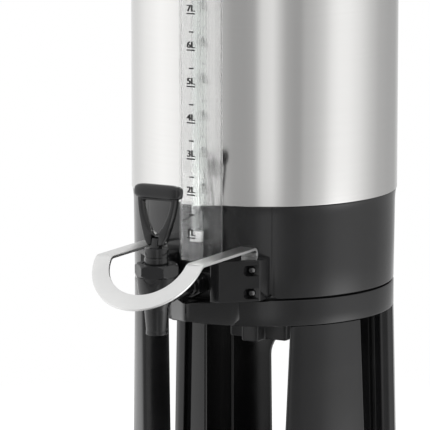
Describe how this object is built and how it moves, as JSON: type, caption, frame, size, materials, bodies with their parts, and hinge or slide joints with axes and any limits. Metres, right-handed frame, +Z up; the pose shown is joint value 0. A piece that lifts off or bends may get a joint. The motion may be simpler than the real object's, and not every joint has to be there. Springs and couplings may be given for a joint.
{
  "type": "insulated beverage dispenser",
  "caption": "Upright insulated drink dispenser: steel vessel on a black legged stand, lever tap behind a drip guard, sight gauge, lift-off lid and pull-out drip tray.",
  "frame": {"origin": "on the vessel's axis at the surface that the dispenser stands on, at the underside of the middle rubber pad", "axes": "+Z up along the vessel's axis; -Y is the front, where the tap points; +X is to the right for someone facing the tap"},
  "size_m": [0.346, 0.395, 0.6846],
  "materials": {
    "black_plastic": "gloss",
    "tap_plastic": "gloss",
    "fitting_plastic": "satin",
    "knob_plastic": "satin",
    "shell_steel": "satin",
    "inner_steel": "satin",
    "guard_steel": "satin",
    "bright_steel": "polished",
    "clear_plastic": "gloss",
    "gauge_glass": "gloss",
    "silicone": "matte",
    "pad_rubber": "matte",
    "foam": "matte"
  },
  "bodies": {
    "root": {"foot_plate": "black_plastic", "rubber_pads": "pad_rubber", "front_leg_left": "black_plastic", "front_leg_right": "black_plastic", "rear_legs": "black_plastic", "leg_screws": "bright_steel", "stand_ring": "black_plastic", "ring_nose": "black_plastic", "clamp_washer": "bright_steel", "clamp_stud": "bright_steel", "base_collar": "black_plastic", "outer_shell": "shell_steel", "inner_liner": "inner_steel", "insulation": "foam", "drain_elbow": "inner_steel", "drain_seal": "silicone", "shank_gasket": "silicone", "union_nut": "tap_plastic", "tap_body": "tap_plastic", "bonnet_nut": "tap_plastic", "bonnet_neck": "tap_plastic", "return_spring": "bright_steel", "handle_pin": "bright_steel", "tap_housing": "black_plastic", "guard_strip": "guard_steel", "guard_screws": "bright_steel", "gauge_stub": "inner_steel", "gauge_elbow": "fitting_plastic", "gauge_gland": "fitting_plastic", "gauge_seal": "silicone", "gauge_nut": "bright_steel", "sight_tube": "gauge_glass", "tube_cap": "fitting_plastic", "tube_shield": "clear_plastic", "shield_screws": "bright_steel", "rim_ring": "black_plastic", "carry_handle_left": "black_plastic", "carry_handle_right": "black_plastic", "handle_screws": "bright_steel"},
    "lever": {"tap_handle": "tap_plastic"},
    "stem": {"tap_stem": "bright_steel", "seat_cup": "silicone"},
    "lid": {"lid_cover": "black_plastic", "lid_plug": "inner_steel", "lid_foam": "foam", "lid_gasket": "silicone", "lid_knob": "knob_plastic", "lid_screw": "bright_steel"},
    "tray": {"drip_tray": "black_plastic"},
    "grid": {"drip_grid": "inner_steel"},
    "knob": {"clamp_knob": "knob_plastic"}
  },
  "joints": [
    {"name": "lever_pull", "type": "hinge", "parent": "root", "child": "lever", "pos_m": [0, -0.189, 0.334], "axis": [1, 0, 0], "range_deg": [0, 35], "stiffness_Nm_per_rad": 0.15, "springref_deg": -20.05},
    {"name": "stem_lift", "type": "slide", "parent": "root", "child": "stem", "axis": [0, 0, 1], "range_m": [0, 0.005], "deforming": ["return_spring"]},
    {"name": "lid_lift", "type": "slide", "parent": "root", "child": "lid", "axis": [0, 0, 1], "range_m": [0, 0.12]},
    {"name": "tray_pull", "type": "slide", "parent": "root", "child": "tray", "axis": [0, -1, 0], "range_m": [0, 0.13]},
    {"name": "grid_lift", "type": "slide", "parent": "tray", "child": "grid", "axis": [0, 0, 1], "range_m": [0, 0.06]},
    {"name": "knob_turn", "type": "hinge", "parent": "root", "child": "knob", "pos_m": [0, 0, 0.24], "axis": [0, 0, -1], "range_deg": [0, 630]}
  ],
  "couplings": [
    {"joint": "stem_lift", "follows": "lever_pull", "m_per_rad": 0.0081}
  ]
}
